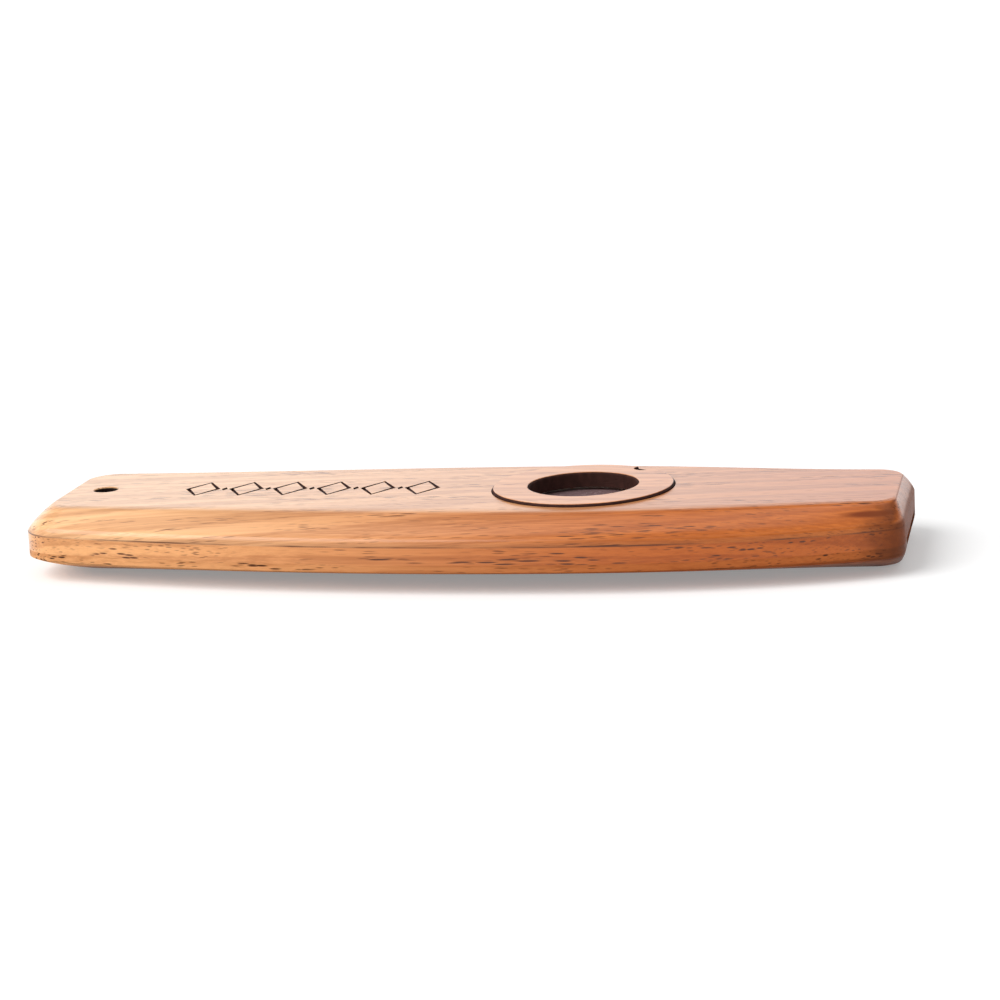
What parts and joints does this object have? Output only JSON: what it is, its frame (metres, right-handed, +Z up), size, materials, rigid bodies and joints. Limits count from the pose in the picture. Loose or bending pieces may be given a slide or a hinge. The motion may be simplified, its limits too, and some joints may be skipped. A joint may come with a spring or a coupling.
{
  "type": "kazoo",
  "caption": "Flat boat-shaped wooden kazoo with a mouth slot, a lift-out cap ring over a membrane in a round well, and a cord hole at the tail.",
  "frame": {"origin": "on the resting surface, under the middle of the body's box", "axes": "+X from the tail to the mouth end, +Z up through the cap ring, +Y across the body"},
  "size_m": [0.1258, 0.0464, 0.0104],
  "materials": {
    "upper_wood": "satin lacquered orange-brown hardwood",
    "base_wood": "satin lacquered orange-brown hardwood",
    "ring_wood": "satin lacquered hardwood with charred cut edges",
    "hoop_plastic": "matt translucent off-white",
    "film_plastic": "thin semi-clear film"
  },
  "bodies": {
    "body": {"upper_board": "upper_wood", "base_board": "base_wood"},
    "cap": {"cap_ring": "ring_wood"},
    "membrane": {"membrane_hoop": "hoop_plastic", "membrane_film": "film_plastic"}
  },
  "joints": [
    {"name": "cap_ring_lift", "type": "slide", "parent": "body", "child": "cap", "axis": [0, 0, 1], "range_m": [0, 0.012]},
    {"name": "membrane_lift", "type": "slide", "parent": "body", "child": "membrane", "axis": [0, 0, 1], "range_m": [0, 0.006]}
  ],
  "couplings": [
    {"joint": "membrane_lift", "follows": "cap_ring_lift", "ratio": 0.5}
  ]
}
